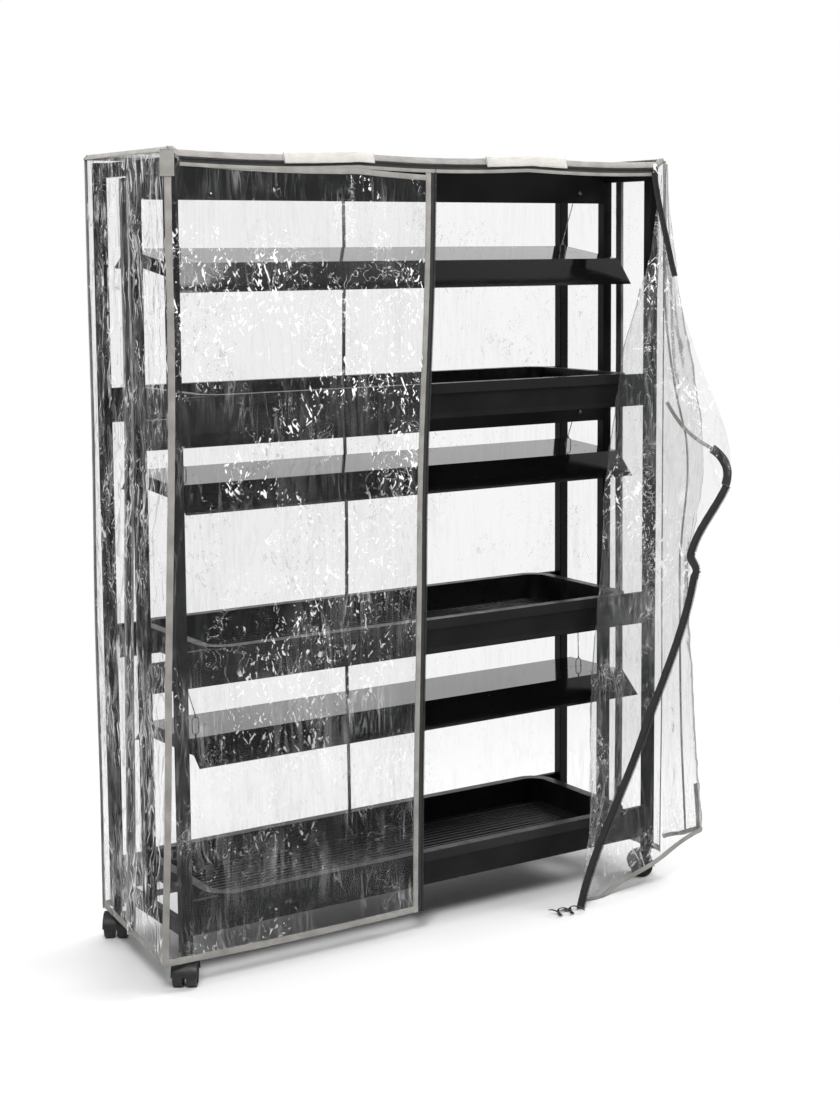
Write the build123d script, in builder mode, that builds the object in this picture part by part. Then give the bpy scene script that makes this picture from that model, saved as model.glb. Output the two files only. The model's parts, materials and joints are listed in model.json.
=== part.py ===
"""Rolling three-tier plant stand with hanging grow lamps and a clear zip-up cover.

Millimetres. +X runs along the shelves, +Y from the front to the back, +Z up.
Every piece is drawn about the middle of the steel frame, standing on the floor.
save() then shifts it, so that the origin lies on the floor under the middle of
the whole object, the pulled-aside door included.
"""

import os
from math import asin, atan2, cos, degrees, hypot, radians, sin

from build123d import *

# Steel frame
post_size = 25.0
post_wall = 1.5
post_corner = 2.0
post_x = 645.0
post_y = 179.0
post_bottom = 70.0
post_top = 1770.0
tier_heights = {"low": 104.8, "mid": 651.2, "top": 1193.4}
rail_height = 77.4
rail_flange = 12.0
rail_crease = 12.0
sheet_wall = 1.5
side_rail_height = 31.0
side_rail_width = 22.0
side_rail_low = 104.0
inner_x = post_x - post_size / 2
inner_y = post_y - post_size / 2

# Rails that carry the lamps, between the middle posts
lamp_rail_width = 22.0
lamp_rails = {"low": (603.6, 65.0), "mid": (1144.2, 65.0), "top": (1688.0, 80.0)}
bolt_x = 557.0
bolt_lift = 24.0
bolt_radius = 3.0

# Trays
tray_length = 1170.0
tray_depth = 397.0
tray_height = 62.0
tray_lip_drop = 22.6
tray_corner = 65.0
tray_wall = 2.6
tray_flange = 22.0
tray_top_above_rail = 2.8
notch_y = 185.5
notch_width = 14.0
rib_pitch = 18.0
rib_count = 17

# Lamps: height of the hood's plate, its shift along X and its tilt, front edge down
lamps = {
    "low": {"plate": 515.0, "shift": 12.0, "tilt": -1.3, "left": -536.0, "right": 552.0},
    "mid": {"plate": 1083.0, "shift": -6.0, "tilt": 3.8, "left": -536.0, "right": 536.0},
    "top": {"plate": 1567.5, "shift": -8.0, "tilt": 8.5, "left": -536.0, "right": 520.0},
}
hood_length = 1220.0
plate_depth = 214.0
skirt_reach = 60.0
skirt_drop = 54.0
hood_wall = 0.8
hood_end_drop = 30.0
hole_span = 16.0
hanger_holes = (512.0, 528.0, 544.0, 560.0)
tube_radius = 8.0
tube_length = 1149.0
tube_y = 55.0
tube_z = -22.0
ballast_size = (320.0, 56.0, 17.0)
balance = {"low": 0.78, "mid": -2.27, "top": -5.11}

# Chains and hanger rings
bead_radius = 1.6
bead_pitch = 4.4
link_radius = 0.6
chain_wrap = bolt_radius + bead_radius + 0.4
chain_tail = 13.0
ring_wire = 1.0
ring_above = 20.0
ring_below = 2.1
ring_bend = 3.0
clasp_length = 6.0

# Casters, with the way each trails as an angle from +X
wheel_radius = 28.0
wheel_width = 21.0
axle_radius = 4.0
trail = 16.0
stem_radius = 5.0
running = 0.05
casters = {
    "front_left": (-1, -1, 236.0),
    "front_right": (1, -1, 147.0),
    "rear_left": (-1, 1, 236.0),
    "rear_right": (1, 1, 250.0),
}

# Cover: film panels, the open front's edge and the line of the door's drape
film = 0.6
zip_y = 8.0
cover_x = 664.0
cover_y = 206.0
cover_top = 1787.0
cover_hem = 62.0
front_panel_end = -18.0
flare_x = -716.0
flare_y = -218.0
door_lines = [
    (1778.0, [(664, -208), (669, -214), (655, -217), (662, -228)]),
    (1530.0, [(664, -208), (684, -232), (588, -222), (668, -252)]),
    (1350.0, [(664, -208), (707, -250), (523, -216), (692, -284)]),
    (1054.0, [(665, -208), (742, -284), (470, -220), (758, -350)]),
    (784.0, [(666, -208), (718, -268), (440, -226), (655, -328)]),
    (400.0, [(668, -208), (726, -276), (405, -234), (515, -309)]),
    (1.0, [(672, -208), (748, -288), (386, -250), (341, -292)]),
]
hem_rise_start = 430.0
hem_rise = 0.42
zip_out = 26.1
door_tip_x = 316.0
door_tip_y = -285.0

# The frame's middle from the origin, which is under the middle of everything
frame_x = -(758.1 - 716.3) / 2
frame_y = (350.3 - 207.9) / 2

os.makedirs("parts", exist_ok=True)


def save(solid, label, spot=Location()):
    """Puts a piece in its place and writes it as one node."""
    placed = Location((frame_x, frame_y, 0)) * spot * solid
    placed.label = label
    export_step(placed, f"parts/{label}.step")


# ---------------------------------------------------------------- frame


def tube(length, wide, deep, plane):
    """Square or flat-sided steel tube along the plane's normal."""
    with BuildPart() as bar:
        with BuildSketch(plane):
            RectangleRounded(wide, deep, post_corner)
            Rectangle(wide - 2 * post_wall, deep - 2 * post_wall, mode=Mode.SUBTRACT)
        extrude(amount=length)
    return bar.part


def edge_rail():
    """Long rail with a crease low on its face and a flange along top and bottom."""
    height, flange, wall = rail_height, rail_flange, sheet_wall
    outline = [
        (2, 0),
        (0, rail_crease),
        (0, height),
        (flange, height),
        (flange, height - wall),
        (wall, height - wall),
        (wall, rail_crease),
        (2 + wall, wall),
        (flange, wall),
        (flange, 0),
    ]
    with BuildPart() as rail:
        with BuildSketch(Plane.YZ.offset(-inner_x)):
            Polygon(*outline, align=None)
        extrude(amount=2 * inner_x)
    return rail.part


def lamp_rail(height):
    """Channel, open underneath, with a hole through both walls near each end."""
    with BuildPart() as rail:
        with BuildSketch(Plane.YZ.offset(-inner_x)):
            with Locations((0, height / 2)):
                Rectangle(lamp_rail_width, height)
            with Locations((0, (height - sheet_wall) / 2)):
                Rectangle(lamp_rail_width - 2 * sheet_wall, height - sheet_wall, mode=Mode.SUBTRACT)
        extrude(amount=2 * inner_x)
        with Locations((-bolt_x, 0, bolt_lift), (bolt_x, 0, bolt_lift)):
            Cylinder(bolt_radius + 0.1, lamp_rail_width + 2, rotation=(90, 0, 0), mode=Mode.SUBTRACT)
    return rail.part


def lamp_bolts():
    """A round-headed bolt and nut across every lamp rail, near each end."""
    half = lamp_rail_width / 2
    heights = [low + bolt_lift for low, _ in lamp_rails.values()]
    spots = [(side * bolt_x, z) for z in heights for side in (-1, 1)]
    with BuildPart() as bolts:
        with BuildSketch(Plane.XZ.offset(-half - 6)):
            with Locations(*spots):
                Circle(bolt_radius)
        extrude(amount=2 * half + 6 + 1)
        with BuildSketch(Plane.XZ.offset(half + 0.1)):
            with Locations(*spots):
                Circle(5.5)
        extrude(amount=3, taper=20)
        with BuildSketch(Plane.XZ.offset(-half - 0.1 - 5)):
            with Locations(*spots):
                RegularPolygon(5.8, 6)
        extrude(amount=5)
    return bolts.part


def post_caps():
    """Flat cap with a plug, on top of each corner post."""
    corners = [(x, y) for x in (-post_x, post_x) for y in (-post_y, post_y)]
    with BuildPart() as caps:
        with BuildSketch(Plane.XY.offset(post_top)):
            with Locations(*corners):
                Rectangle(post_size, post_size)
        extrude(amount=2)
        with BuildSketch(Plane.XY.offset(post_top)):
            with Locations(*corners):
                Rectangle(post_size - 2 * post_wall - 0.4, post_size - 2 * post_wall - 0.4)
        extrude(amount=-15)
    return caps.part


def caster_sockets():
    """Plug in the foot of each corner post, bored for a caster's stem."""
    corners = [(x, y) for x in (-post_x, post_x) for y in (-post_y, post_y)]
    with BuildPart() as plugs:
        with BuildSketch(Plane.XY.offset(post_bottom - 2)):
            with Locations(*corners):
                Rectangle(post_size, post_size)
        extrude(amount=2)
        with BuildSketch(Plane.XY.offset(post_bottom)):
            with Locations(*corners):
                Rectangle(post_size - 2 * post_wall - 0.4, post_size - 2 * post_wall - 0.4)
        extrude(amount=34)
        with BuildSketch(Plane.XY.offset(post_bottom - 2)):
            with Locations(*corners):
                Circle(stem_radius + running)
        extrude(amount=32, mode=Mode.SUBTRACT)
    return plugs.part


def build_frame():
    """Posts, rails, caps and bolts."""
    middle_low = side_rail_low + side_rail_height
    middle_high = post_top - side_rail_height
    for side, x in (("left", -post_x), ("right", post_x)):
        for row, y in (("front", -post_y), ("rear", post_y)):
            base = Plane((x, y, post_bottom))
            save(tube(post_top - post_bottom, post_size, post_size, base), f"post_{row}_{side}")
        base = Plane((x, 0, middle_low))
        save(tube(middle_high - middle_low, post_size, post_size, base), f"post_middle_{side}")
        for level, z in (("low", side_rail_low), ("top", middle_high)):
            start = Plane((x, inner_y, z + side_rail_height / 2), x_dir=(1, 0, 0), z_dir=(0, -1, 0))
            bar = tube(2 * inner_y, side_rail_width, side_rail_height, start)
            save(bar, f"side_rail_{level}_{side}")
    front = edge_rail()
    for tier, z in tier_heights.items():
        face = post_y + post_size / 2
        save(front, f"front_rail_{tier}", Location((0, -face, z)))
        save(front, f"rear_rail_{tier}", Location((0, face, z), (0, 0, 180)))
    for tier, (z, height) in lamp_rails.items():
        save(lamp_rail(height), f"lamp_rail_{tier}", Location((0, 0, z)))
    save(lamp_bolts(), "lamp_bolts")
    save(post_caps(), "post_caps")
    save(caster_sockets(), "caster_sockets")


# ---------------------------------------------------------------- trays


def tray():
    """Deep tray: ribbed floor, and a lip turned down all round but notched over the rails."""
    basin = (tray_length - 2 * tray_flange, tray_depth - 2 * tray_flange)
    basin_corner = tray_corner - tray_flange
    with BuildPart() as body:
        with BuildSketch(Plane.XY):
            RectangleRounded(tray_length, tray_depth, tray_corner)
        extrude(amount=-tray_lip_drop)
        with BuildSketch(Plane.XY.offset(-tray_wall)):
            RectangleRounded(tray_length - 2 * tray_wall, tray_depth - 2 * tray_wall, tray_corner - tray_wall)
        extrude(amount=-tray_lip_drop, mode=Mode.SUBTRACT)
        with BuildSketch(Plane.XY.offset(-tray_wall)):
            with GridLocations(0, 2 * notch_y, 1, 2):
                Rectangle(tray_length, notch_width)
        extrude(amount=-tray_lip_drop, mode=Mode.SUBTRACT)
        down = Plane((0, 0, 0), z_dir=(0, 0, -1))
        with BuildSketch(down):
            RectangleRounded(*basin, basin_corner)
        extrude(amount=tray_height, taper=4)
        with BuildSketch(down):
            RectangleRounded(basin[0] - 2 * tray_wall, basin[1] - 2 * tray_wall, basin_corner - tray_wall)
        extrude(amount=tray_height - tray_wall, taper=4, mode=Mode.SUBTRACT)
        with BuildSketch(Plane.XY.offset(-tray_height + tray_wall)):
            with GridLocations(0, rib_pitch, 1, rib_count):
                SlotOverall(basin[0] - 80, 7)
        extrude(amount=2.5, taper=30)
    return body.part


def build_trays():
    """A tray hooked over the front and rear rails of every tier."""
    basin = tray()
    for tier, z in tier_heights.items():
        save(basin, f"tray_{tier}", Location((0, 0, z + rail_height + tray_top_above_rail)))


# ---------------------------------------------------------------- lamps


def trapezium(top_half, bottom_half, low, high=0.0):
    """Corners of a symmetric outline that widens downwards."""
    return [(-bottom_half, -low), (-top_half, -high), (top_half, -high), (bottom_half, -low)]


def hood():
    """Folded sheet: flat plate, skirts flaring to front and back, short end plates."""
    half, reach, drop = plate_depth / 2, skirt_reach, skirt_drop
    end_half = half + reach * hood_end_drop / drop
    with BuildPart() as shade:
        with BuildSketch(Plane.YZ.offset(-hood_length / 2)):
            Polygon(*trapezium(half, half + reach, drop), align=None)
            inside = trapezium(half - 0.4, half + reach - 1.3, drop, hood_wall)
            Polygon(*inside, align=None, mode=Mode.SUBTRACT)
        extrude(amount=hood_length)
        for start in (-hood_length / 2, hood_length / 2 - hood_wall):
            with BuildSketch(Plane.YZ.offset(start)):
                Polygon(*trapezium(half, end_half, hood_end_drop), align=None)
            extrude(amount=hood_wall)
        with BuildSketch(Plane.XY):
            with Locations(*[(side * x, 0) for side in (-1, 1) for x in hanger_holes]):
                Circle(3.2)
            with GridLocations(1060, 150, 2, 2):
                Circle(2.6)
        extrude(amount=-hood_wall, mode=Mode.SUBTRACT)
    return shade.part


def lamp_tubes():
    """Two slim straight tubes with end caps."""
    with BuildPart() as tubes:
        with BuildSketch(Plane.YZ.offset(-tube_length / 2)):
            with Locations((-tube_y, tube_z), (tube_y, tube_z)):
                Circle(tube_radius)
        extrude(amount=tube_length)
    return tubes.part


def lamp_holders():
    """Block at each end of each tube, hung from the plate."""
    start = tube_length / 2 + 0.3
    with BuildPart() as holders:
        with Locations(
            *[
                (side * (start + 8), y, (-hood_wall - 0.1 + tube_z - 12) / 2)
                for side in (-1, 1)
                for y in (-tube_y, tube_y)
            ]
        ):
            Box(16, 22, abs(tube_z - 12 + hood_wall + 0.1))
    return holders.part


def ballast(offset_y):
    """Driver box under the plate, between the tubes."""
    with BuildPart() as case:
        with Locations((0, offset_y, -hood_wall - 0.1 - ballast_size[2] / 2)):
            Box(*ballast_size)
        fillet(case.edges().filter_by(Axis.Z), 3)
    return case.part


def hanger_ring():
    """Wire loop, flat underneath, through two holes in the plate, with the chain's clasp."""
    half, low, bend = hole_span / 2, -ring_below, ring_bend
    turn = bend * (1 - cos(radians(45)))
    with BuildPart() as ring:
        with BuildLine(Plane.XZ) as loop:
            Line((-half, low + bend), (-half, ring_above - half))
            ThreePointArc((-half, ring_above - half), (0, ring_above), (half, ring_above - half))
            Line((half, ring_above - half), (half, low + bend))
            ThreePointArc((half, low + bend), (half - turn, low + turn), (half - bend, low))
            Line((half - bend, low), (bend - half, low))
            ThreePointArc((bend - half, low), (turn - half, low + turn), (-half, low + bend))
        with BuildSketch(loop.line ^ 0):
            Circle(ring_wire)
        sweep()
        with Locations((0, 0, ring_above + clasp_length / 2 - ring_wire)):
            Cylinder(2.0, clasp_length)
    return ring.part


def chain(foot_x, foot_z, bolt_z):
    """Ball chain from a clasp up to a bolt and over it, from whichever side is nearer."""
    outside = foot_x > bolt_x
    start_x = 2 * bolt_x - foot_x if outside else foot_x
    across, up = bolt_x - start_x, bolt_z - foot_z
    reach = hypot(across, up)
    slant = atan2(across, up) - asin(chain_wrap / reach)
    run = (reach**2 - chain_wrap**2) ** 0.5
    touch = (start_x + run * sin(slant), foot_z + run * cos(slant))
    crest = (bolt_x, bolt_z + chain_wrap)
    far = (bolt_x + chain_wrap, bolt_z)
    with BuildPart() as beads:
        with BuildLine(Plane.XZ) as path:
            Line((start_x, foot_z), touch)
            ThreePointArc(touch, crest, far)
            Line(far, (far[0], far[1] - chain_tail))
        with BuildSketch(path.line ^ 0):
            Circle(link_radius)
        sweep(transition=Transition.ROUND)
        strand = path.wires()[0]
        count = int(strand.length / bead_pitch)
        with Locations(*[strand @ (i / count) for i in range(count + 1)]):
            Sphere(bead_radius)
    return mirror(beads.part, about=Plane.YZ.offset(bolt_x)) if outside else beads.part


def build_lamps():
    """Three hoods on ball chains, each hooked over its rail's two bolts."""
    shade, tubes, holders, ring = hood(), lamp_tubes(), lamp_holders(), hanger_ring()
    for tier, lamp in lamps.items():
        hung = Location((lamp["shift"], 0, lamp["plate"]), (lamp["tilt"], 0, 0))
        save(shade, f"hood_{tier}", hung)
        save(tubes, f"tubes_{tier}", hung)
        save(holders, f"tube_holders_{tier}", hung)
        save(ballast(balance[tier]), f"driver_box_{tier}", hung)
        bolt_z = lamp_rails[tier][0] + bolt_lift
        clasp_top = lamp["plate"] + ring_above + clasp_length - ring_wire + 0.2 + bead_radius
        left_foot, right_foot = lamp["shift"] + lamp["left"], lamp["shift"] + lamp["right"]
        left = mirror(chain(-left_foot, clasp_top, bolt_z), about=Plane.YZ)
        right = chain(right_foot, clasp_top, bolt_z)
        save(Compound([left, right]), f"chains_{tier}")
        rings = [Location((foot, 0, lamp["plate"])) * ring for foot in (left_foot, right_foot)]
        save(Compound(rings), f"hanger_rings_{tier}")


# ---------------------------------------------------------------- casters


def caster_housing():
    """Stem, boss, centre web, axle and the hood over a pair of wheels, as one piece."""
    outer = wheel_radius + 4
    inner = wheel_radius + 2
    wide = 2 * wheel_width + 14
    with BuildPart() as housing:
        with BuildSketch(Plane.XZ.offset(-wide / 2)):
            with Locations((trail, wheel_radius)):
                Circle(outer)
                Circle(inner, mode=Mode.SUBTRACT)
                Rectangle(2 * outer, outer, align=(Align.CENTER, Align.MAX), mode=Mode.SUBTRACT)
        extrude(amount=wide)
        with BuildSketch(Plane.XZ.offset(-4)):
            with Locations((trail, wheel_radius)):
                Circle(inner + 1)
                Rectangle(2 * outer, outer, align=(Align.CENTER, Align.MAX), mode=Mode.SUBTRACT)
                Circle(12)
        extrude(amount=8)
        with BuildSketch(Plane.XZ.offset(-wide / 2 + 3)):
            with Locations((trail, wheel_radius)):
                Circle(axle_radius)
        extrude(amount=wide - 6)
        with BuildSketch(Plane.XY.offset(2 * wheel_radius + 1)):
            Circle(11)
        extrude(amount=post_bottom - 2.2 - 2 * wheel_radius - 1)
        with BuildSketch(Plane.XY.offset(post_bottom - 3)):
            Circle(stem_radius)
        extrude(amount=30)
    return housing.part


def caster_wheels():
    """Two equal wheels side by side on the housing's axle, dished on the outside."""
    near = 4.5
    with BuildPart() as wheels:
        for side in (-1, 1):
            face = Plane((trail, side * near, wheel_radius), z_dir=(0, side, 0))
            with BuildSketch(face):
                Circle(wheel_radius)
                Circle(axle_radius + running, mode=Mode.SUBTRACT)
            extrude(amount=wheel_width)
            with BuildSketch(face.offset(wheel_width)):
                Circle(wheel_radius - 5)
                Circle(axle_radius + 4, mode=Mode.SUBTRACT)
            extrude(amount=-2.5, mode=Mode.SUBTRACT)
    return wheels.part


def build_casters():
    """A caster under each corner post."""
    housing, wheels = caster_housing(), caster_wheels()
    for name, (along, deep, turn) in casters.items():
        spot = Location((along * post_x, deep * post_y, 0), (0, 0, turn))
        save(housing, f"caster_housing_{name}", spot)
        save(wheels, f"caster_wheels_{name}", spot)


# ---------------------------------------------------------------- cover


def strip(line, thickness=film):
    """Closed outline of a thin sheet seen edge-on, mitred at its folds."""
    path = [Vector(*point) for point in line]
    normals = [(b - a).normalized().rotate(Axis.Z, 90) for a, b in zip(path, path[1:])]
    before = [normals[0]] + normals
    after = normals + [normals[-1]]
    shifts = [(p + q) / (1 + p.dot(q)) * (thickness / 2) for p, q in zip(before, after)]
    left = [point + shift for point, shift in zip(path, shifts)]
    right = [point - shift for point, shift in zip(path, shifts)]
    return [(point.X, point.Y) for point in left + right[::-1]]


def sheet(levels):
    """Film panel through a bent line at each height, straight from one to the next."""
    with BuildPart() as panel:
        for height, line in levels:
            with BuildSketch(Plane.XY.offset(height)):
                Polygon(*strip(line), align=None)
        loft(ruled=True)
    return panel.part


def faceted(upper, lower, inwards):
    """Film panel hung from one line to a lower one, as flat triangles that share their edges."""
    with BuildPart() as panel:
        for index in range(len(upper) - 1):
            fold = (upper[index], lower[index + 1])
            for corner in (upper[index + 1], lower[index]):
                face = Face(Wire.make_polygon([fold[0], corner, fold[1]]))
                extrude(face, amount=film, dir=inwards)
    return panel.part


def draped_door():
    """The open door, folded back on itself, its hem rising from the floor to the right."""
    door = sheet(door_lines)
    rise = Plane((hem_rise_start, 0, 0), z_dir=(-hem_rise, 0, 1))
    with BuildPart() as trimmed:
        add(door)
        split(bisect_by=rise, keep=Keep.TOP)
    return trimmed.part


def slider():
    """Zip slider with its pull hanging flat below it; the zip's face is the YZ plane."""
    with BuildPart() as body:
        with BuildSketch(Plane.YZ):
            Trapezoid(11, 13, 80)
        extrude(amount=4)
        with BuildSketch(Plane.YZ.offset(4)):
            with Locations((0, -11)):
                SlotOverall(30, 7, rotation=90)
                with Locations((0, -9)):
                    Circle(2, mode=Mode.SUBTRACT)
        extrude(amount=1.5)
    return body.part


def build_cover():
    """Film panels round the frame, the door pulled aside, and two zip sliders."""
    edge = 1.0
    with BuildPart() as lid:
        with Locations((0, 0, cover_top)):
            Box(2 * cover_x, 2 * cover_y, film)
    save(lid.part, "cover_top")
    high, low = cover_top - edge, cover_hem
    top_left, top_right = (-cover_x, cover_y - edge), (cover_x, cover_y - edge)
    rear_line = [(-cover_x - 3, cover_y), (cover_x + 3, cover_y)]
    save(sheet([(high, [(-cover_x, cover_y), (cover_x, cover_y)]), (low, rear_line)]), "cover_back")
    front_high = [(-cover_x, -cover_y, high), (front_panel_end, -cover_y, high)]
    front_low = [(flare_x + edge, flare_y, low), (front_panel_end - 54, -cover_y - 5, low)]
    save(faceted(front_high, front_low, (0, 1, 0)), "cover_front")
    left_high = [(-cover_x, edge - cover_y, high), (-cover_x, zip_y, high), (*top_left, high)]
    left_low = [(flare_x, flare_y + edge, low), (-cover_x - zip_out, zip_y, low)]
    left_low.append((-cover_x - 4, cover_y - edge, low))
    save(faceted(left_high, left_low, (1, 0, 0)), "cover_side_left")
    right_low = [(cover_x + 4, edge - cover_y), (cover_x + 4, cover_y - edge)]
    save(sheet([(high, [(cover_x, edge - cover_y), top_right]), (low, right_low)]), "cover_side_right")
    save(draped_door(), "cover_door")
    lean = degrees(atan2(zip_out, cover_top - cover_hem))
    save(slider(), "zip_slider_side", Location((-cover_x - zip_out - 1.2, zip_y, 88), (0, lean, 180)))
    flat = Plane((door_tip_x, door_tip_y, 0.5), x_dir=(0, 0, 1), z_dir=(1, 0, 0))
    save(slider(), "zip_slider_door", flat.location)


build_frame()
build_trays()
build_lamps()
build_casters()
build_cover()
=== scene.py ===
"""Looks for the rolling plant stand: finishes, clear crinkled cover, zips, floor, light and camera."""

import json
from math import cos, pi, radians, sin

import bmesh
import bpy
from mathutils import Matrix, Vector, noise


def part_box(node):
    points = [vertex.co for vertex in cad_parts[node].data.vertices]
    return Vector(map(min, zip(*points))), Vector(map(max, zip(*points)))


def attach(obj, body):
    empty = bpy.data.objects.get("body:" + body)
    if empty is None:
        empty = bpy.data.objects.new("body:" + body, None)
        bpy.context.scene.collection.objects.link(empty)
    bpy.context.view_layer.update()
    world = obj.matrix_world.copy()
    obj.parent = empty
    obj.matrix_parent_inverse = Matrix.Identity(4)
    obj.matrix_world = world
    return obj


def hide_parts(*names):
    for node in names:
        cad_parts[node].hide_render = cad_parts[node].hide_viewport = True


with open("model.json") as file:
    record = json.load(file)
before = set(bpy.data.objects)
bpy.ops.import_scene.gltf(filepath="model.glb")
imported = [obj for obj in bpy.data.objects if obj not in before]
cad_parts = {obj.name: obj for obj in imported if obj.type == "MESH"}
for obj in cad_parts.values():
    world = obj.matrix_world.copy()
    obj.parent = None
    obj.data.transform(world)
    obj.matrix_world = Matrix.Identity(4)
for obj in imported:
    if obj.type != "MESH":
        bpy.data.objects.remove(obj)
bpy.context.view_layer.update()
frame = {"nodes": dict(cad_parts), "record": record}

# Middle of the steel frame on the floor: the cover is drawn about it
first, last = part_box("post_front_left")[0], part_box("post_rear_right")[1]
middle = Vector(((first.x + last.x) / 2, (first.y + last.y) / 2, 0))

# Cover, metres from the middle
half_x = 0.664
half_y = 0.206
cover_top = 1.785
cover_hem = 0.062
doorway = -0.018
zip_y = 0.008
door_slope_start = 0.43
door_slope = 0.42
door_pleat = 0.011
hem_line = 0.9952
tape_width = 0.022
binding_width = 0.015
grid = 0.010

# Lines of the door from the top down: hinge, right fold, left fold, free edge
door_levels = [1.778, 1.53, 1.35, 1.054, 0.845, 0.784, 0.4, 0.001]
door_hinge = [(0.664, -0.208), (0.664, -0.208), (0.664, -0.208), (0.665, -0.208), (0.666, -0.208),
              (0.666, -0.208), (0.668, -0.208), (0.672, -0.208)]
door_right = [(0.669, -0.214), (0.684, -0.232), (0.707, -0.25), (0.742, -0.284), (0.722, -0.271), (0.718, -0.268),
              (0.726, -0.276), (0.748, -0.288)]
door_left = [(0.655, -0.217), (0.588, -0.222), (0.523, -0.216), (0.47, -0.22), (0.446, -0.225), (0.44, -0.226),
             (0.405, -0.234), (0.386, -0.25)]
door_free = [(0.612, -0.222), (0.655, -0.245), (0.692, -0.284), (0.758, -0.35), (0.65, -0.33), (0.66, -0.328),
             (0.515, -0.309), (0.341, -0.292)]


# ---------------------------------------------------------------- materials


class Finish:
    """A Principled material with short ways to texture it in object space."""

    def __init__(self, name, colour, rough, metallic=0.0):
        self.material = bpy.data.materials.new(name)
        self.material.use_nodes = True
        self.nodes = self.material.node_tree.nodes
        self.links = self.material.node_tree.links
        self.shader = self.nodes["Principled BSDF"]
        self.shader.inputs["Base Color"].default_value = (*colour, 1)
        self.shader.inputs["Roughness"].default_value = rough
        self.shader.inputs["Metallic"].default_value = metallic
        self.coordinates = self.nodes.new("ShaderNodeTexCoord").outputs["Object"]

    def stretch(self, x, y, z):
        """Object coordinates scaled along each axis."""
        node = self.nodes.new("ShaderNodeVectorMath")
        node.operation = "MULTIPLY"
        node.inputs[1].default_value = (x, y, z)
        self.links.new(self.coordinates, node.inputs[0])
        return node.outputs[0]

    def noise(self, scale, detail=2.0, distortion=0.0, vector=None):
        """Noise value between 0 and 1."""
        node = self.nodes.new("ShaderNodeTexNoise")
        node.inputs["Scale"].default_value = scale
        node.inputs["Detail"].default_value = detail
        node.inputs["Distortion"].default_value = distortion
        self.links.new(vector or self.coordinates, node.inputs["Vector"])
        return node.outputs["Fac"]

    def strokes(self, lean, scale):
        """Short thin dashes, leaning from the vertical."""
        turn = self.nodes.new("ShaderNodeVectorRotate")
        turn.rotation_type = "AXIS_ANGLE"
        turn.inputs["Axis"].default_value = (0.7, 0.7, 0)
        turn.inputs["Angle"].default_value = lean
        self.links.new(self.coordinates, turn.inputs["Vector"])
        squeeze = self.nodes.new("ShaderNodeVectorMath")
        squeeze.operation = "MULTIPLY"
        squeeze.inputs[1].default_value = (1, 1, 0.22)
        self.links.new(turn.outputs[0], squeeze.inputs[0])
        return self.remap(self.noise(scale, 2, 0.7, squeeze.outputs[0]), 0.645, 0.665, 0, 1)

    def wave(self, scale, direction, distortion=0.0):
        """Fine parallel lines."""
        node = self.nodes.new("ShaderNodeTexWave")
        node.bands_direction = direction
        node.inputs["Scale"].default_value = scale
        node.inputs["Distortion"].default_value = distortion
        self.links.new(self.coordinates, node.inputs["Vector"])
        return node.outputs["Fac"]

    def remap(self, value, low, high, to_low, to_high):
        """Value from one range to another, held at the ends."""
        node = self.nodes.new("ShaderNodeMapRange")
        for socket, number in zip(list(node.inputs)[1:5], (low, high, to_low, to_high)):
            socket.default_value = number
        self.links.new(value, node.inputs[0])
        return node.outputs[0]

    def math(self, operation, first_value, second_value, clamp=False):
        """Arithmetic on two values, either of which may be a number."""
        node = self.nodes.new("ShaderNodeMath")
        node.operation = operation
        node.use_clamp = clamp
        for socket, value in zip(node.inputs, (first_value, second_value)):
            if isinstance(value, (int, float)):
                socket.default_value = value
            else:
                self.links.new(value, socket)
        return node.outputs[0]

    def ridge(self, value, sharp):
        """Thin lines where a noise crosses its middle."""
        away = self.math("ABSOLUTE", self.math("SUBTRACT", value, 0.5), 0.0)
        return self.remap(away, 0.0, sharp, 1.0, 0.0)

    def blend(self, value, dark, light):
        """Colour between two, driven by a value."""
        node = self.nodes.new("ShaderNodeMix")
        node.data_type = "RGBA"
        node.inputs["A"].default_value = (*dark, 1)
        node.inputs["B"].default_value = (*light, 1)
        self.links.new(value, node.inputs["Factor"])
        return node.outputs["Result"]

    def drive(self, socket, value):
        """Feeds one of the shader's sockets."""
        self.links.new(value, self.shader.inputs[socket])

    def bump(self, value, strength, distance):
        """Raises the surface by a value."""
        node = self.nodes.new("ShaderNodeBump")
        node.inputs["Strength"].default_value = strength
        node.inputs["Distance"].default_value = distance
        self.links.new(value, node.inputs["Height"])
        self.links.new(node.outputs[0], self.shader.inputs["Normal"])
        return node.outputs[0]


def powder_coat():
    """Black powder coat: fine orange peel and a faint haze of dust."""
    made = Finish("powder_coat", (0.02, 0.02, 0.021), 0.42)
    dust_and_reflection_haze = made.remap(made.noise(9, 5), 0.35, 0.75, 0, 1)
    made.drive("Base Color", made.blend(dust_and_reflection_haze, (0.003, 0.003, 0.0033), (0.008, 0.008, 0.0083)))
    made.shader.inputs["Specular IOR Level"].default_value = 0.13
    made.drive("Roughness", made.remap(made.noise(24, 4), 0.3, 0.7, 0.34, 0.48))
    made.bump(made.noise(900, 2), 0.25, 0.0004)
    return made.material


def hood_enamel():
    """Glossy black sheet, a little cloudy, with dust specks."""
    made = Finish("hood_enamel", (0.01, 0.01, 0.011), 0.2)
    specks = made.remap(made.noise(260, 3), 0.68, 0.78, 0, 1)
    made.drive("Base Color", made.blend(specks, (0.003, 0.003, 0.0033), (0.05, 0.05, 0.05)))
    made.drive("Roughness", made.remap(made.noise(14, 5), 0.3, 0.7, 0.05, 0.11))
    made.bump(made.noise(60, 3), 0.05, 0.001)
    made.shader.inputs["IOR"].default_value = 1.55
    return made.material


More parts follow.
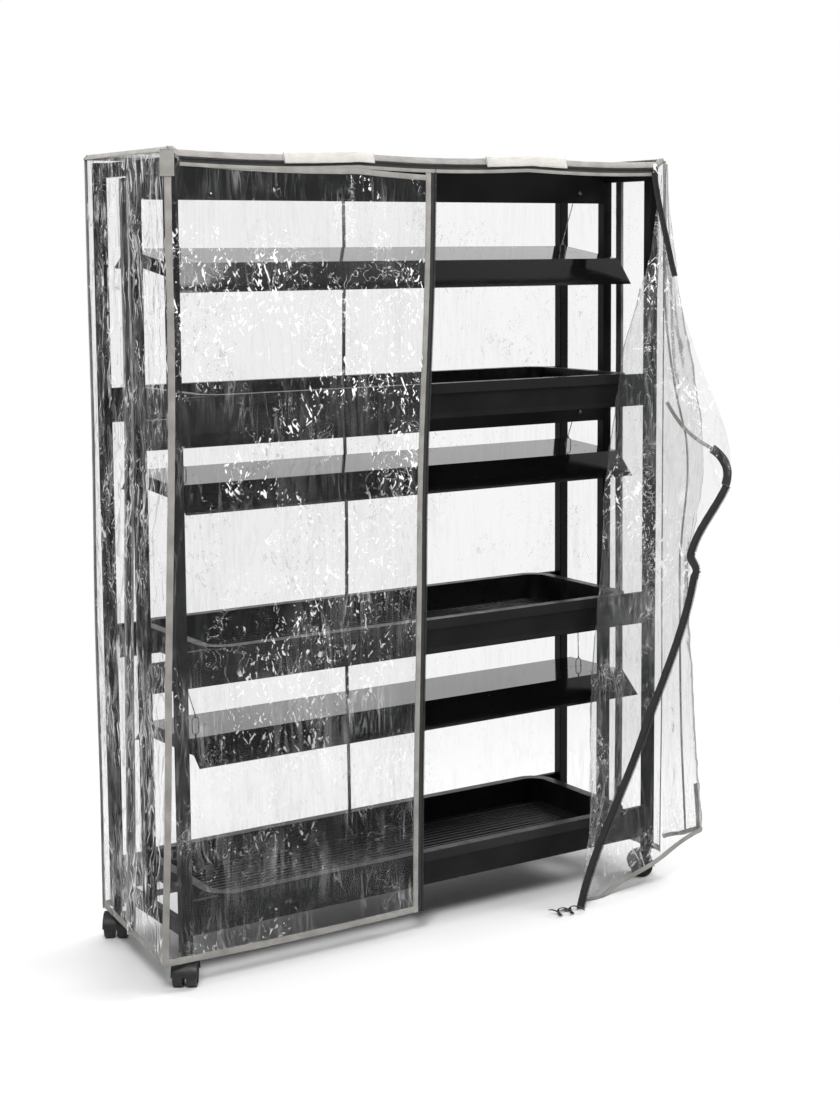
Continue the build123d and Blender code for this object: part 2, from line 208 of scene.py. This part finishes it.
def tray_plastic():
    """Vacuum-formed black plastic: soft sheen, pebbled, scuffed on the floor."""
    made = Finish("tray_plastic", (0.02, 0.02, 0.022), 0.32)
    scuff = made.remap(made.noise(5, 6, 0.6, made.stretch(0.5, 4, 1)), 0.45, 0.75, 0, 1)
    made.drive("Base Color", made.blend(scuff, (0.003, 0.003, 0.0035), (0.011, 0.011, 0.012)))
    made.shader.inputs["Specular IOR Level"].default_value = 0.2
    made.drive("Roughness", made.remap(made.noise(40, 4), 0.3, 0.7, 0.26, 0.42))
    made.bump(made.noise(420, 2), 0.2, 0.0006)
    return made.material


def moulded(name, colour, light, rough):
    """Plain moulded plastic with fine grain."""
    made = Finish(name, colour, rough)
    made.drive("Base Color", made.blend(made.remap(made.noise(30, 5), 0.35, 0.7, 0, 1), colour, light))
    made.drive("Roughness", made.remap(made.noise(70, 3), 0.3, 0.7, rough - 0.08, rough + 0.1))
    made.bump(made.noise(1100, 2), 0.2, 0.0003)
    return made.material


def frosted_glass():
    """White coated tube glass."""
    made = Finish("lamp_glass", (0.86, 0.87, 0.85), 0.25)
    made.drive("Base Color", made.blend(made.noise(6, 4), (0.78, 0.79, 0.76), (0.9, 0.9, 0.88)))
    made.drive("Roughness", made.remap(made.noise(30, 3), 0.3, 0.7, 0.2, 0.34))
    made.shader.inputs["Coat Weight"].default_value = 0.5
    return made.material


def metal(name, dark, light, rough):
    """Plated metal with small stains and scratches."""
    made = Finish(name, light, rough, 1.0)
    made.drive("Base Color", made.blend(made.remap(made.noise(160, 5), 0.4, 0.65, 0, 1), dark, light))
    made.drive("Roughness", made.remap(made.noise(240, 3), 0.3, 0.7, rough - 0.08, rough + 0.14))
    made.bump(made.noise(700, 2), 0.15, 0.0003)
    return made.material


def woven(name, dark, light, scale=620):
    """Narrow woven ribbon: crossed threads, slightly uneven in colour."""
    made = Finish(name, light, 0.85)
    threads = made.math("MULTIPLY", made.wave(scale, "Z"), made.math("ADD", made.wave(scale, "X"), 0.4))
    stain = made.remap(made.noise(22, 5), 0.3, 0.75, 0, 1)
    tone = made.math("ADD", made.math("MULTIPLY", threads, 0.35), made.math("MULTIPLY", stain, 0.65), True)
    made.drive("Base Color", made.blend(tone, dark, light))
    made.bump(threads, 0.5, 0.0006)
    made.shader.inputs["Sheen Weight"].default_value = 0.2
    return made.material


def clear_film(name, sparkle, streaks, tint=0.07):
    """Clear soft film with a faint grey tint, and painted light in its colour and alpha: clustered painted glints on
    its creases, painted reflection smears, and long painted highlight and shade streaks where it is gathered.
    """
    made = Finish(name, (0.16, 0.165, 0.165), 0.1)
    # Painted glints: short white strokes and thin curls, in clusters and patches, stand in for highlights on the
    # creases.
    strokes = made.math("MAXIMUM", made.strokes(0.45, 95), made.strokes(-0.7, 120))
    clusters = made.remap(made.noise(4.5, 3, 0.6), 0.51, 0.59, 0, sparkle)
    curls = made.ridge(made.noise(30, 3, 1.4), 0.009)
    patches = made.remap(made.noise(9, 3, 0.8), 0.54, 0.61, 0, sparkle)
    painted_glints = made.math("MAXIMUM", made.math("MULTIPLY", strokes, clusters), made.math("MULTIPLY", curls, patches))
    apart = made.nodes.new("ShaderNodeSeparateXYZ")
    made.links.new(made.coordinates, apart.inputs[0])
    # Fewer painted glints lower down.
    painted_glints = made.math("MULTIPLY", painted_glints, made.remap(apart.outputs["Z"], 0.45, 1.1, 0.3, 1.0))
    tall = made.stretch(1.0, 1.0, 0.12)
    # Long fold lines: a real relief in the bump below, and also painted white as highlight streaks where the film is
    # gathered.
    fold_relief_and_highlights = made.math("MAXIMUM", made.ridge(made.noise(34, 2, 0.7, tall), 0.02), made.ridge(made.noise(15, 4, 0.9, tall), 0.012))
    fold_relief_and_highlights = made.math("MULTIPLY", fold_relief_and_highlights, made.remap(made.noise(7, 3), 0.42, 0.6, 0, streaks))
    # Painted reflection: broad whitish smears, stronger lower down.
    reflection_smear = made.math("MULTIPLY", made.remap(made.noise(30, 6, 2.5, tall), 0.4, 0.65, 0, 1), made.remap(made.noise(5, 2), 0.45, 0.62, 0, 1))
    low_down = made.remap(apart.outputs["Z"], 0.3, 1.1, 1.0, 0.5)
    dust_and_reflection_haze = made.math("MULTIPLY", made.math("MULTIPLY", reflection_smear, low_down), 0.1 + 0.2 * streaks)
    crumple = made.math("ADD", made.noise(18, 5, 1.4), made.math("MULTIPLY", fold_relief_and_highlights, 0.4))
    normal = made.bump(crumple, 0.4, 0.008)
    facing = made.nodes.new("ShaderNodeFresnel")
    facing.inputs["IOR"].default_value = 1.35
    made.links.new(normal, facing.inputs["Normal"])
    skin = made.math("ADD", made.math("MULTIPLY", facing.outputs[0], 0.5), tint)
    # Painted highlights: glints, fold streaks and reflection smears together raise the alpha and turn the colour white.
    painted_shine = made.math("ADD", made.math("MAXIMUM", made.math("MULTIPLY", painted_glints, 0.9), fold_relief_and_highlights), dust_and_reflection_haze, True)
    # Painted shade: dark lines along the gathered folds, more opaque and kept grey.
    painted_shade_lines = made.math("MULTIPLY", made.ridge(made.noise(22, 4, 1.1, tall), 0.03), streaks)
    cover = made.math("ADD", skin, made.math("MULTIPLY", painted_shade_lines, 0.6))
    made.drive("Alpha", made.math("ADD", cover, painted_shine, True))
    # Colour is white on the painted highlights and stays grey on the painted shade lines.
    whiteness = made.math("MULTIPLY", made.math("MULTIPLY", painted_shine, 5, True), made.math("SUBTRACT", 1, painted_shade_lines, True))
    made.drive("Base Color", made.blend(whiteness, (0.13, 0.135, 0.135), (1.0, 1.0, 1.0)))
    return made.material


finishes = {
    "powder_coat": powder_coat(),
    "bolt_steel": metal("bolt_steel", (0.05, 0.05, 0.05), (0.32, 0.32, 0.31), 0.35),
    "black_plastic": moulded("black_plastic", (0.005, 0.005, 0.005), (0.015, 0.015, 0.0155), 0.5),
    "tray_plastic": tray_plastic(),
    "hood_enamel": hood_enamel(),
    "white_enamel": moulded("white_enamel", (0.72, 0.72, 0.7), (0.82, 0.82, 0.8), 0.3),
    "lamp_glass": frosted_glass(),
    "white_plastic": moulded("white_plastic", (0.7, 0.7, 0.68), (0.8, 0.8, 0.78), 0.45),
    "chain_nickel": metal("chain_nickel", (0.07, 0.07, 0.07), (0.4, 0.4, 0.39), 0.3),
    "wheel_rubber": moulded("wheel_rubber", (0.006, 0.006, 0.0065), (0.02, 0.02, 0.021), 0.55),
    "clear_film": clear_film("clear_film", 1.0, 0.12),
    "cover_binding": woven("cover_binding", (0.2, 0.19, 0.175), (0.42, 0.405, 0.38)),
    "zip_tape": woven("zip_tape", (0.003, 0.003, 0.003), (0.012, 0.012, 0.012)),
    "zip_silver": metal("zip_silver", (0.45, 0.45, 0.44), (0.85, 0.85, 0.84), 0.2),
}
# Film variants: fewer painted glints on the back and right side, strong painted highlight and shade streaks on the
# gathered left side, and a darker tint on the door.
film_fewer_painted_glints = clear_film("film_fewer_painted_glints", 0.35, 0.05)
gathered_film_painted_streaks = clear_film("gathered_film_painted_streaks", 0.7, 0.7)
draped_film = clear_film("draped_film", 0.9, 0.12, 0.11)
pale_cloth = woven("pale_cloth", (0.46, 0.44, 0.4), (0.66, 0.64, 0.6))


def dress_nodes():
    """Gives every CAD node the finish of its slot."""
    for entry in frame["record"]["subparts"]:
        mesh = frame["nodes"][entry["node"]].data
        mesh.materials.clear()
        mesh.materials.append(finishes[entry["material_slot"]])


# ---------------------------------------------------------------- shapes


def between(levels, line, height):
    """Point of a line of the cover at a height, smooth from level to level."""
    for index in range(len(levels) - 1):
        if height >= levels[index + 1] or index == len(levels) - 2:
            break
    share = (levels[index] - height) / (levels[index] - levels[index + 1])
    share = min(max(share, 0), 1)
    before, after = line[max(index - 1, 0)], line[min(index + 2, len(line) - 1)]
    start, end = line[index], line[index + 1]
    out = []
    for a, b, c, d in zip(before, start, end, after):
        out.append(b + 0.5 * share * (c - a + share * (2 * a - 5 * b + 4 * c - d + share * (3 * (b - c) + d - a))))
    return Vector((out[0], out[1], height))


def sway(point):
    """Slow waves that every edge and panel of the cover shares."""
    wave = noise.noise_vector(Vector((point.x * 3, point.y * 3, point.z * 2.2)))
    near_zip = min(1, abs(point.y - zip_y) / 0.08) if point.x < 0 else 1
    return point + Vector((wave.x * 0.005 * near_zip, wave.y * 0.004, 0))


def crease(point):
    """How far the film stands out: billows, long folds and small crumples."""
    long_fold = 1 - 2 * abs(noise.noise(Vector((point.x * 9, point.y * 9, point.z * 3.2))))
    short_fold = 1 - 2 * abs(noise.noise(Vector((point.x * 23 + 7, point.y * 23, point.z * 13))))
    crumple = noise.noise(point * 48)
    return 0.0028 * max(long_fold, 0) ** 3 + 0.0022 * max(short_fold, 0) ** 2 + 0.0009 * crumple


def new_piece(name, vertices, faces, finish, body="frame"):
    """Smooth mesh piece with its material, riding on a body."""
    mesh = bpy.data.meshes.new(name)
    mesh.from_pydata([(v.x, v.y, max(v.z, 0.0005)) for v in vertices], [], faces)
    mesh.materials.append(finish)
    mesh.shade_smooth()
    piece = bpy.data.objects.new(name, mesh)
    bpy.context.scene.collection.objects.link(piece)
    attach(piece, body)
    return piece


def film_panel(name, spot, wide, tall, outward, depth=1.0, film=None):
    """Sheet of film through spot(u, v), creased outwards but still at its bound edges."""
    columns, rows = max(8, int(wide / grid)), max(8, int(tall / grid))
    points = [[spot(i / columns, j / rows) for i in range(columns + 1)] for j in range(rows + 1)]
    vertices = []
    for j in range(rows + 1):
        for i in range(columns + 1):
            here = points[j][i]
            along = points[j][min(i + 1, columns)] - points[j][max(i - 1, 0)]
            down = points[min(j + 1, rows)][i] - points[max(j - 1, 0)][i]
            normal = along.cross(down).normalized()
            if outward is not None and normal.dot(outward) < 0:
                normal.negate()
            edge = min(i, columns - i, j, rows - j) * grid
            fade = min(1, edge / 0.03)
            vertices.append(here + normal * crease(here) * fade * depth + middle)
    faces = []
    for j in range(rows):
        for i in range(columns):
            a = j * (columns + 1) + i
            faces.append((a, a + 1, a + columns + 2, a + columns + 1))
    return new_piece(name, vertices, faces, film or finishes["clear_film"])


def ribbon(name, points, facing, width, thick, finish, shift=0.0):
    """Flat band with rounded edges along points, its face turned to facing."""
    ring = [(-0.5, -0.3), (-0.5, 0.3), (-0.42, 0.5), (0.42, 0.5), (0.5, 0.3), (0.5, -0.3), (0.42, -0.5), (-0.42, -0.5)]
    vertices, faces = [], []
    count = len(ring)
    for index, point in enumerate(points):
        ahead = points[min(index + 1, len(points) - 1)] - points[max(index - 1, 0)]
        along = ahead.normalized()
        face = facing(point) if callable(facing) else facing
        side = along.cross(face).normalized()
        out = side.cross(along).normalized()
        pucker = 1 + 0.06 * noise.noise(point * 60)
        for across, up in ring:
            vertices.append(point + side * (across * width * pucker + shift) + out * up * thick + middle)
        if index:
            base = (index - 1) * count
            for k in range(count):
                faces.append((base + k, base + (k + 1) % count, base + count + (k + 1) % count, base + count + k))
    faces.append(tuple(range(count)))
    faces.append(tuple(range(len(vertices) - 1, len(vertices) - 1 - count, -1)))
    return new_piece(name, vertices, faces, finish)


def teeth(name, points, facing, shift=0.0):
    """Zip coil: a small rounded link every few millimetres along the points."""
    vertices, faces = [], []
    length = sum((b - a).length for a, b in zip(points, points[1:]))
    pitch, travelled, due = 0.0034, 0.0, 0.0
    for a, b in zip(points, points[1:]):
        along = (b - a).normalized()
        face = facing(a) if callable(facing) else facing
        side = along.cross(face).normalized()
        out = side.cross(along).normalized()
        span = (b - a).length
        while due <= travelled + span and due <= length:
            centre = a + along * (due - travelled) + side * shift + out * 0.0012 + middle
            base = len(vertices)
            for sx in (-1, 1):
                for sy in (-1, 1):
                    vertices.append(centre + side * sx * 0.0030 + along * sy * 0.0012)
            for sx in (-1, 1):
                for sy in (-1, 1):
                    vertices.append(centre + side * sx * 0.0020 + along * sy * 0.0008 + out * 0.0013)
            for face_corners in ((0, 1, 3, 2), (4, 6, 7, 5), (0, 4, 5, 1), (2, 3, 7, 6), (0, 2, 6, 4), (1, 5, 7, 3)):
                faces.append(tuple(base + corner for corner in face_corners))
            due += pitch
        travelled += span
    return new_piece(name, vertices, faces, finishes["black_plastic"])


# ---------------------------------------------------------------- cover


def edge_front_left(v):
    return sway(between([cover_top, 1.2, 0.65, cover_hem], [(-half_x, -half_y), (-0.667, -0.208), (-0.688, -0.213), (-0.714, -0.218)], cover_top + (cover_hem - cover_top) * v))


def edge_rear_left(v):
    return sway(between([cover_top, cover_hem], [(-half_x, half_y), (-half_x - 0.003, half_y)], cover_top + (cover_hem - cover_top) * v))


def edge_front_right(v):
    return sway(between([cover_top, cover_hem], [(half_x, -half_y), (half_x + 0.003, -half_y)], cover_top + (cover_hem - cover_top) * v))


def edge_rear_right(v):
    return sway(between([cover_top, cover_hem], [(half_x, half_y), (half_x + 0.003, half_y)], cover_top + (cover_hem - cover_top) * v))


def header_drop(x):
    """Sag of the cover's front top edge, held up at the corners and at two cloth loops."""
    return 0.006 + 0.006 * abs(sin(pi * (x + half_x) / 0.46)) if abs(x) < half_x - 0.02 else 0.0


def doorway_edge(v):
    top = cover_top - 0.02
    return sway(between([top, 0.9, cover_hem], [(doorway, -half_y), (-0.05, -0.209), (-0.071, -0.212)], top + (cover_hem - 0.008 - top) * v))


def panel_between(left, right):
    return lambda u, v: left(v).lerp(right(v), u)


def front_spot(u, v):
    left, right = edge_front_left(v), doorway_edge(v)
    point = left.lerp(right, u)
    point.z -= header_drop(point.x) * (1 - v) + 0.018 * (1 - v) * min(1, u * 8)
    point.z -= 0.004 * sin(pi * u) * v
    return point


def top_spot(u, v):
    x, y = -half_x + 2 * half_x * u, -half_y + 2 * half_y * v
    sag = 0.007 * sin(pi * u) ** 0.5 * sin(pi * v) ** 0.5 if 0 < u < 1 and 0 < v < 1 else 0
    point = sway(Vector((x, y, cover_top)))
    point.z -= sag + header_drop(x) * (1 - v) ** 2
    return point


def door_section(height):
    """Line of the draped door at a height, its two folds rounded."""
    corners = [between(door_levels, line, height) for line in (door_hinge, door_right, door_left, door_free)]
    out = [corners[0]]
    for before, corner, after in zip(corners, corners[1:], corners[2:]):
        round_by = min(0.016, 0.3 * (before - corner).length, 0.3 * (after - corner).length)
        a = corner + (before - corner).normalized() * round_by
        c = corner + (after - corner).normalized() * round_by
        out += [a, corner * 0.4 + (a + c) * 0.3, c]
    out.append(corners[-1])
    return out


def door_at(u, height):
    """Point of the door a share u of the way from its hinge to its free edge."""
    line = door_section(height)
    shares = [0, 0.2, 0.22, 0.24, 0.58, 0.6, 0.62, 1]
    for index in range(len(shares) - 1):
        if u <= shares[index + 1]:
            break
    part = (u - shares[index]) / (shares[index + 1] - shares[index])
    return line[index].lerp(line[index + 1], part)


def door_spot(u, v):
    """Point of the door with its hanging pleats; its hem climbs away from the tip on the floor."""
    low = 0.002
    for _ in range(6):
        low = max(0.002, door_slope * (door_at(u, low).x - door_slope_start))
    height = door_levels[0] + (low - door_levels[0]) * v
    point = door_at(u, height)
    ahead = door_at(min(u + 0.01, 1), height) - door_at(max(u - 0.01, 0), height)
    side = ahead.cross(Vector((0, 0, 1))).normalized()
    swing = sin(2 * pi * (5.5 * u + 0.35 * sin(5 * v) + 0.25 * noise.noise(Vector((u * 3, v * 4, 0)))))
    spread = min(1, 3 * v + 0.15) * min(1, 12 * u, 12 * (1 - u))
    return point + side * swing * door_pleat * spread * (1 - 0.5 * v)


def run(spot, count):
    """Evenly numbered points along spot(t), t from 0 to 1."""
    return [spot(index / count) for index in range(count + 1)]


def bind(name, spot, facing, width=binding_width, thick=0.0022, count=120, cloth=None, shift=0.0):
    finish = cloth or finishes["cover_binding"]
    return ribbon(name, run(spot, count), facing, width, thick, finish, shift)


def zip_run(name, spot, facing, count=160, width=tape_width, shift=0.0, teeth_shift=0.0):
    """Black zip tape with its coil."""
    points = run(spot, count)
    tape = ribbon(f"{name}_tape", points, facing, width, 0.0016, finishes["zip_tape"], shift)
    coil = teeth(f"{name}_coil", points, facing, teeth_shift)
    return [tape, coil]


left, right = Vector((-1, 0, 0)), Vector((1, 0, 0))
front, rear, up = Vector((0, -1, 0)), Vector((0, 1, 0)), Vector((0, 0, 1))


def build_panels():
    """The five fixed panels of film, with their bindings."""
    height = cover_top - cover_hem
    top = film_panel("film_top", top_spot, 2 * half_x, 2 * half_y, up, 0.8)
    back = film_panel("film_back", panel_between(edge_rear_right, edge_rear_left), 2 * half_x, height, rear, 0.8, film_fewer_painted_glints)
    front_left = film_panel("film_front", front_spot, 0.66, height, front)
    side_left = film_panel("film_side_left", panel_between(edge_front_left, edge_rear_left), 0.43, height, left, 2.6, gathered_film_painted_streaks)
    side_right = film_panel("film_side_right", panel_between(edge_front_right, edge_rear_right), 0.41, height, right, 1.4, film_fewer_painted_glints)
    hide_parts("cover_top")
    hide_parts("cover_back")
    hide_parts("cover_front")
    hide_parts("cover_side_left")
    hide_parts("cover_side_right")
    corner_face = {"fl": left + front, "rl": left + rear, "fr": right + front, "rr": right + rear}
    fl = bind("binding_front_left", edge_front_left, corner_face["fl"])
    rl = bind("binding_rear_left", edge_rear_left, corner_face["rl"])
    fr = bind("binding_front_right", edge_front_right, corner_face["fr"])
    rr = bind("binding_rear_right", edge_rear_right, corner_face["rr"])
    hem_left = bind("hem_left", lambda t: edge_front_left(hem_line).lerp(edge_rear_left(hem_line), t), left)
    hem_rear = bind("hem_rear", lambda t: edge_rear_left(hem_line).lerp(edge_rear_right(hem_line), t), rear)
    hem_right = bind("hem_right", lambda t: edge_front_right(hem_line).lerp(edge_rear_right(hem_line), t), right)
    hem_front = bind("hem_front", lambda t: front_spot(t, hem_line), front)
    head_front = bind("head_front", lambda t: front_spot(t, 0), front, 0.012)
    seam = bind("seam_rear", lambda t: sway(Vector((0.0, half_y + 0.001, cover_top + (cover_hem - cover_top) * t))), rear, 0.009)
    top_left = bind("top_left", lambda t: top_spot(0, t), left + up, count=40)
    top_right = bind("top_right", lambda t: top_spot(1, t), right + up, count=40)
    top_rear = bind("top_rear", lambda t: top_spot(t, 1), rear + up)
    top_front = bind("top_front", lambda t: top_spot(t, 0), front + up * 0.5)


def build_header():
    """Along the front of the top: the doors' zip, two pale cloth loops and corner patches."""
    def line(drop):
        return lambda t: top_spot(0.02 + 0.96 * t, 0) + Vector((0, -0.0015, -drop))
    zip_run("header_zip", line(0.013), front, 200, 0.013, 0.0, -0.003)
    bind("header_lower", line(0.0225), front, 0.008, 0.002)
    for number, (start, end) in enumerate(((-0.392, -0.165), (0.135, 0.364))):
        def loop(t, start=start, end=end):
            point = top_spot((start + (end - start) * t + half_x) / (2 * half_x), 0)
            return point + Vector((0, -0.0035, -0.001))
        bind(f"cloth_loop_{number}", loop, front + up * 0.35, 0.024, 0.0035, 60, pale_cloth)
    for name, edge, face in (("left", edge_front_left, left + front), ("right", edge_front_right, right + front)):
        bind(f"corner_patch_{name}", lambda t, edge=edge: edge(0.032 * t) + face * 0.002, face, 0.03, 0.003, 12)


def build_doorway():
    """Binding and zip along the free edge of the closed half, and the zip in the left side."""
    bind("doorway_binding", lambda t: doorway_edge(t), front, 0.013, 0.0024, 140, None, 0.004)
    zip_run("doorway_zip", doorway_edge, front, 180, 0.012, -0.009, -0.014)
    def side(t):
        point = edge_front_left(0.03 + 0.965 * t).lerp(edge_rear_left(0.03 + 0.965 * t), 0.0)
        share = (zip_y - point.y) / (half_y - point.y)
        v = 0.03 + 0.965 * t
        return edge_front_left(v).lerp(edge_rear_left(v), share)
    zip_run("side_zip", side, left, 180, 0.026)
    def right_side(t):
        return edge_front_right(0.02 + 0.97 * t).lerp(edge_rear_right(0.02 + 0.97 * t), 0.42)
    zip_run("right_zip", right_side, right, 180, 0.020)
    bind("right_binding", right_side, right, 0.008, 0.0022, 140, None, 0.014)
    bind("side_binding_near", side, left, 0.010, 0.0022, 140, None, 0.018)
    bind("side_binding_far", side, left, 0.010, 0.0022, 140, None, -0.018)


def build_door():
    """The open door: film, the zip round its edge, a seam, and bindings at its hem."""
    door = film_panel("film_door", door_spot, 1.0, 1.75, None, 1.3, draped_film)
    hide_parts("cover_door")
    apex = 1 - door_levels[3] / door_levels[0]
    def outwards(point):
        return Vector((-0.35, -1, 0.1))
    def falling(t):
        return door_spot(1.0, 0.012 + 0.14 * t) + front * 0.004
    def tucked(t):
        point = Vector((0.670, -0.214, 1.2)).lerp(Vector((0.722, -0.322, 1.091)), t)
        return point + Vector((0, 0.012 * sin(pi * t), -0.012 * sin(pi * t)))
    def free(t):
        return door_spot(1.0, apex + (1 - apex) * t)
    corner_start, corner_end = tucked(1), free(0.05)
    def turned(t):
        bow = (door_spot(1.0, apex) + right * 0.008) * (2 * t * (1 - t))
        return corner_start * (1 - t) ** 2 + bow + corner_end * t * t
    def tip_loop(t):
        turn = 2.4 * 2 * pi * t
        return free(1) + Vector((-0.006 - 0.075 * t, -0.012 - 0.016 * cos(turn) + 0.012 * t, 0.006 + 0.006 * sin(turn)))
    head = zip_run("door_head_zip", falling, outwards, 60, 0.014, 0.0, -0.004)
    turn = ribbon("door_tucked_tape", run(tucked, 60), outwards, 0.009, 0.0018, finishes["cover_binding"])
    bend = ribbon("door_corner_tape", run(turned, 30), outwards, 0.022, 0.0026, finishes["zip_tape"])
    edge = zip_run("door_zip", lambda t: free(0.05 + 0.95 * t), outwards, 200, 0.018, -0.002, -0.011)
    loops = ribbon("door_tip_loops", run(tip_loop, 90), up, 0.006, 0.0016, finishes["zip_tape"])
    hem = bind("door_hem", lambda t: door_spot(t, 1), front, 0.012, 0.002, 200)
    def seam_line(t):
        return door_spot(0.02 + 0.11 * min(1, max(0, (t - 0.2) * 5)), t)
    seam = bind("door_seam", seam_line, front + right * 0.5, 0.010, 0.002, 200)
    corner = bind("door_lower_corner", lambda t: door_spot(0.2, 0.93 + 0.07 * t), front, 0.012, 0.002, 20)


# ---------------------------------------------------------------- room


def build_floor():
    """Pale floor that brightens with distance until it meets the pale surroundings."""
    bpy.ops.mesh.primitive_plane_add(size=80)
    floor = bpy.context.object
    floor.name = "floor"
    made = Finish("floor_paper", (0.9, 0.9, 0.9), 0.9)
    length = made.nodes.new("ShaderNodeVectorMath")
    length.operation = "LENGTH"
    made.links.new(made.coordinates, length.inputs[0])
    far = made.remap(length.outputs["Value"], 1.0, 2.6, 0, 1)
    grain = made.remap(made.noise(3, 4), 0.3, 0.7, 0, 1)
    paper = made.nodes.new("ShaderNodeMix")
    paper.data_type = "RGBA"
    paper.inputs["B"].default_value = (0, 0, 0, 1)
    made.links.new(far, paper.inputs["Factor"])
    made.links.new(made.blend(grain, (0.89, 0.89, 0.89), (0.91, 0.91, 0.91)), paper.inputs["A"])
    made.drive("Base Color", paper.outputs["Result"])
    made.shader.inputs["Emission Color"].default_value = (1, 1, 1, 1)
    made.drive("Emission Strength", far)
    made.shader.inputs["Specular IOR Level"].default_value = 0.0
    floor.data.materials.append(made.material)


def build_light():
    """White surroundings behind the object, dim ones before it, and large soft lamps."""
    world = bpy.data.worlds.new("studio")
    bpy.context.scene.world = world
    world.use_nodes = True
    nodes, links = world.node_tree.nodes, world.node_tree.links
    background = nodes["Background"]
    place = nodes.new("ShaderNodeTexCoord")
    towards = nodes.new("ShaderNodeVectorMath")
    towards.operation = "DOT_PRODUCT"
    towards.inputs[1].default_value = (0.546, 0.838, -0.1)
    links.new(place.outputs["Generated"], towards.inputs[0])
    ramp = nodes.new("ShaderNodeMapRange")
    for socket, number in zip(list(ramp.inputs)[1:5], (-0.1, 0.4, 0.1, 1.0)):
        socket.default_value = number
    links.new(towards.outputs["Value"], ramp.inputs[0])
    seen = nodes.new("ShaderNodeLightPath").outputs["Is Camera Ray"]
    shown = nodes.new("ShaderNodeMath")
    shown.operation = "MAXIMUM"
    links.new(ramp.outputs[0], shown.inputs[0])
    links.new(seen, shown.inputs[1])
    links.new(shown.outputs[0], background.inputs["Color"])
    lamps = (("key", (-2.6, -3.2, 4.2), 1.6, 210), ("fill", (3.6, -1.6, 3.4), 1.6, 110), ("over", (0.3, 0.4, 4.6), 2.6, 130))
    for name, spot, size, power in lamps:
        data = bpy.data.lights.new(name, "AREA")
        data.size = size
        data.energy = power
        lamp = bpy.data.objects.new(name, data)
        bpy.context.scene.collection.objects.link(lamp)
        lamp.location = spot
        lamp.rotation_euler = (Vector((0, 0, 0.9)) - Vector(spot)).to_track_quat("-Z", "Y").to_euler()


def build_camera():
    """Tall frame from the left front, a little above mid-height."""
    data = bpy.data.cameras.new("camera")
    data.lens = 61.45
    data.sensor_width = 36
    data.shift_y = -0.086
    camera = bpy.data.objects.new("camera", data)
    bpy.context.scene.collection.objects.link(camera)
    turn = Matrix.Rotation(radians(-33.1), 4, "Z") @ Matrix.Rotation(radians(90 - 6.39), 4, "X")
    turn = turn @ Matrix.Rotation(radians(-0.4), 4, "Z")
    camera.matrix_world = Matrix.Translation(Vector((-2.3967, -3.8062, 1.5765)) + middle) @ turn
    bpy.context.scene.camera = camera


dress_nodes()
build_panels()
build_header()
build_doorway()
build_door()
build_floor()
build_light()
build_camera()
bpy.context.scene.view_settings.view_transform = "Standard"

bpy.context.view_layer.update()
